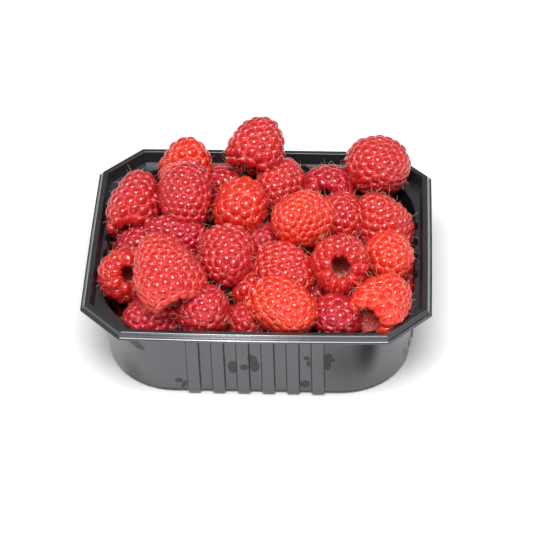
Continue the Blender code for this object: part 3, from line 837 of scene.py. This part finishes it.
# Creases where the sheet has buckled: both ends (x, y, z), depth and half width, in mm.
CREASES = (((64.3, -19.0, 32.0), (62.2, -31.0, 10.0), 1.3, 1.3),
           ((63.4, -27.1, 15.0), (61.1, -32.6, 3.5), 1.1, 1.1),
           ((58.9, -39.2, 18.0), (61.1, -32.8, 4.3), 0.9, 1.0))


def soften(points, radius, steps=4):
    """Round the corners of an open run of points."""
    points = [np.array(point, float) for point in points]
    out = [points[0]]
    for before, here, after in zip(points, points[1:], points[2:]):
        back, on = before - here, after - here
        start = here + back * min(radius / np.linalg.norm(back), 0.45)
        end = here + on * min(radius / np.linalg.norm(on), 0.45)
        for t in np.linspace(0, 1, steps + 1):
            out.append((1 - t) ** 2 * start + 2 * t * (1 - t) * here + t * t * end)
    return out + [points[-1]]


def rim_outline(inset):
    """The octagon of the rim, anticlockwise from the front end of the right side."""
    half_x, half_y = RIM_LENGTH / 2 - inset, RIM_WIDTH / 2 - inset
    cut = RIM_CORNER_CUT - CUT_CLOSING * inset
    corners = ((half_x, cut - half_y), (half_x, half_y - cut), (half_x - cut, half_y),
               (cut - half_x, half_y), (-half_x, half_y - cut), (-half_x, cut - half_y),
               (cut - half_x, -half_y), (half_x - cut, -half_y))
    points = []
    for index, bow in enumerate(RIM_BOWS):
        start, end = np.array(corners[index]), np.array(corners[(index + 1) % 8])
        run = end - start
        out = np.array((run[1], -run[0])) / np.linalg.norm(run)
        for t in np.concatenate([[0.0, 0.006], np.linspace(0.03, 0.97, 15 if bow else 4), [0.994]]):
            points.append(start + run * t + out * bow * 4 * t * (1 - t))
    return np.array(points)


def body_outline(inset, foot_half, top_half):
    """The round-cornered outline of the body with its ribs, anticlockwise from the right side."""
    half = (RIM_LENGTH / 2 - inset, RIM_WIDTH / 2 - inset)
    radius = BODY_CORNER_RADIUS - (inset - BODY_TOP_INSET)
    points = []
    for side in range(4):
        angle, distance = side * pi / 2, half[side % 2]
        count, pitch = RIBS[side % 2]
        profile = [(-half[1 - side % 2] + radius, 0.0)]
        for rib in range(count):
            middle = (rib - (count - 1) / 2) * pitch
            profile += [(middle - foot_half, 0), (middle - top_half, RIB_DEPTH),
                        (middle + top_half, RIB_DEPTH), (middle + foot_half, 0)]
        profile = soften(profile + [(half[1 - side % 2] - radius, 0.0)], RIB_ROUNDING, 2)[1:-1]
        out, along = np.array((cos(angle), sin(angle))), np.array((-sin(angle), cos(angle)))
        points += [out * (distance + o) + along * a for a, o in profile]
        middle = out * (distance - radius) + along * (half[1 - side % 2] - radius)
        for turn in np.linspace(angle, angle + pi / 2, 25):
            points.append(middle + radius * np.array((cos(turn), sin(turn))))
    return np.array(points)


def buckle(points):
    """Push the sheet in along its creases, with a low ridge beside each."""
    for start, end, depth, reach in CREASES:
        start, end = np.array(start), np.array(end)
        run = end - start
        t = np.clip((points - start) @ run / (run @ run), 0, 1)
        distance = np.linalg.norm(points - start - t[:, None] * run, axis=1)
        ridge = 0.35 * np.exp(-((distance - 2 * reach) / reach) ** 2)
        push = depth * (np.exp(-(distance / reach) ** 2) - ridge)
        push *= np.sin(pi * np.clip(t, 0.12, 0.88))
        inward = -points * (1, 1, 0)
        points = points + inward / np.linalg.norm(inward, axis=1)[:, None] * push[:, None]
    return points


def make_tray():
    """The tray as one closed sheet: rim, collar, ledge, ribbed body and base, and their under faces."""
    mesh = bmesh.new()

    def rings(section, outline, radius, *ribs):
        rows = soften(section, radius)
        fine = []
        for low, high in zip(rows, rows[1:]):
            pieces = max(1, int(np.linalg.norm(high - low) / 2.5))
            fine += [low + (high - low) * k / pieces for k in range(pieces)]
        made = []
        for inset, height in fine + [rows[-1]]:
            flat = outline(inset, *ribs)
            points = np.column_stack([flat, np.full(len(flat), height)])
            points = buckle(points) if ribs else points
            verts = [mesh.verts.new(point * MM) for point in points]
            made.append((verts, [mesh.edges.new(pair) for pair in zip(verts, verts[1:] + verts[:1])]))
        for (upper, _), (lower, _) in zip(made, made[1:]):
            for i in range(len(upper)):
                j = (i + 1) % len(upper)
                mesh.faces.new((upper[i], upper[j], lower[j], lower[i]))
        return made

    def fill(outer, inner):
        bmesh.ops.triangle_fill(mesh, edges=outer + inner, normal=(0, 0, 1), use_beauty=True)

    upper = rings(RIM_UPPER_FACE, rim_outline, RIM_ROUNDING)
    under = rings(RIM_UNDER_FACE, rim_outline, RIM_ROUNDING)
    first, last = upper[0][0], under[0][0]
    for i in range(len(first)):
        j = (i + 1) % len(first)
        mesh.faces.new((first[i], first[j], last[j], last[i]))
    inner = rings(BODY_INNER_FACE, body_outline, BODY_ROUNDING, *INNER_RIB_HALVES)
    outer = rings(BODY_OUTER_FACE, body_outline, BODY_ROUNDING, *OUTER_RIB_HALVES)
    fill(upper[-1][1], inner[0][1])
    fill(under[-1][1], outer[0][1])
    for wall, height in ((inner, SHEET), (outer, 0.0)):
        flat = rim_outline(BASE_PANEL_INSET)
        verts = [mesh.verts.new((x * MM, y * MM, height * MM)) for x, y in flat]
        edges = [mesh.edges.new(pair) for pair in zip(verts, verts[1:] + verts[:1])]
        fill(wall[-1][1], edges)
        mesh.faces.new(verts)
    bmesh.ops.triangulate(mesh, faces=[face for face in mesh.faces if len(face.verts) > 4])
    bmesh.ops.recalc_face_normals(mesh, faces=mesh.faces)
    data = bpy.data.meshes.new("tray_sheet")
    mesh.to_mesh(data)
    mesh.free()
    data.shade_smooth()
    data.set_sharp_from_angle(angle=radians(SHARP_ANGLE))
    for face in data.polygons:   # level faces stay flat
        face.use_smooth = abs(face.normal.z) < 0.9995
    data.materials.append(plastic_material())
    piece = bpy.data.objects.new("tray_sheet", data)
    bpy.context.scene.collection.objects.link(piece)
    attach(piece, "root")
    return piece


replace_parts(make_tray(), "punnet")


# ---- Floor, light and camera ----
FLOOR_HALF = 6.0                 # in metres, as are all lengths below
# Softboxes: azimuth and elevation in degrees, distance, width and power, and the height of an oblong one.
LIGHTS = {"key": (-92, 66, 1.5, 0.85, 25), "left": (-165, 45, 1.6, 0.5, 2.2),
          "right": (10, 50, 1.6, 0.5, 3.4), "front": (-93, 13, 1.4, 0.5, 1.6, 0.16)}
AIM_HEIGHT = 0.04                # the softboxes point at the middle of the heap
SKY_STRENGTH = 0.23


def make_floor():
    mesh = bpy.data.meshes.new("floor")
    corners = [(x * FLOOR_HALF, y * FLOOR_HALF, 0) for x, y in ((-1, -1), (1, -1), (1, 1), (-1, 1))]
    mesh.from_pydata(corners, [], [(0, 1, 2, 3)])
    floor = bpy.data.objects.new("floor", mesh)
    bpy.context.scene.collection.objects.link(floor)
    material, _, _ = material_with_nodes(
        "floor_white", Base_Color=(0.98, 0.98, 0.98, 1.0), Roughness=0.6,
        Emission_Color=(1.0, 1.0, 1.0, 1.0), Emission_Strength=0.06)
    mesh.materials.append(material)


def area_light(name, azimuth, elevation, distance, size, power, size_y=None):
    """A softbox that points at the middle of the heap."""
    light = bpy.data.lights.new(name, "AREA")
    light.energy = power
    light.size = size
    if size_y:
        light.shape = "RECTANGLE"
        light.size_y = size_y
    place = Vector((cos(radians(elevation)) * cos(radians(azimuth)),
                    cos(radians(elevation)) * sin(radians(azimuth)), sin(radians(elevation)))) * distance
    lamp = bpy.data.objects.new(name, light)
    lamp.location = place + Vector((0, 0, AIM_HEIGHT))
    lamp.rotation_euler = place.to_track_quat("Z", "Y").to_euler()
    bpy.context.scene.collection.objects.link(lamp)


# Where the camera stands, which way its back faces and how far it is turned about that, in degrees, and
# its focal length and sensor width, in mm.
CAMERA_PLACE = (0.05268, -0.80388, 0.74339)
CAMERA_AZIMUTH, CAMERA_CLIMB, CAMERA_ROLL = -86.8091, 42.0668, -1.2598
CAMERA_LENS, CAMERA_SENSOR = 164.548, 36.0


def make_camera():
    data = bpy.data.cameras.new("camera")
    data.sensor_width = CAMERA_SENSOR
    data.lens = CAMERA_LENS
    data.clip_end = 20.0
    camera = bpy.data.objects.new("camera", data)
    azimuth, climb = radians(CAMERA_AZIMUTH), radians(CAMERA_CLIMB)
    back = Vector((cos(climb) * cos(azimuth), cos(climb) * sin(azimuth), sin(climb)))
    level = Vector((-sin(azimuth), cos(azimuth), 0.0))
    right = Matrix.Rotation(radians(CAMERA_ROLL), 3, back) @ level
    camera.matrix_world = Matrix((right, back.cross(right), back)).transposed().to_4x4()
    camera.location = CAMERA_PLACE
    bpy.context.scene.collection.objects.link(camera)
    bpy.context.scene.camera = camera


make_floor()
for light, softbox in LIGHTS.items():
    area_light(light, *softbox)
world = bpy.data.worlds.new("studio")
world.use_nodes = True
background = world.node_tree.nodes["Background"]
background.inputs["Color"].default_value = (1.0, 1.0, 1.0, 1.0)
background.inputs["Strength"].default_value = SKY_STRENGTH
bpy.context.scene.world = world
bpy.context.scene.view_settings.view_transform = "Standard"
make_camera()
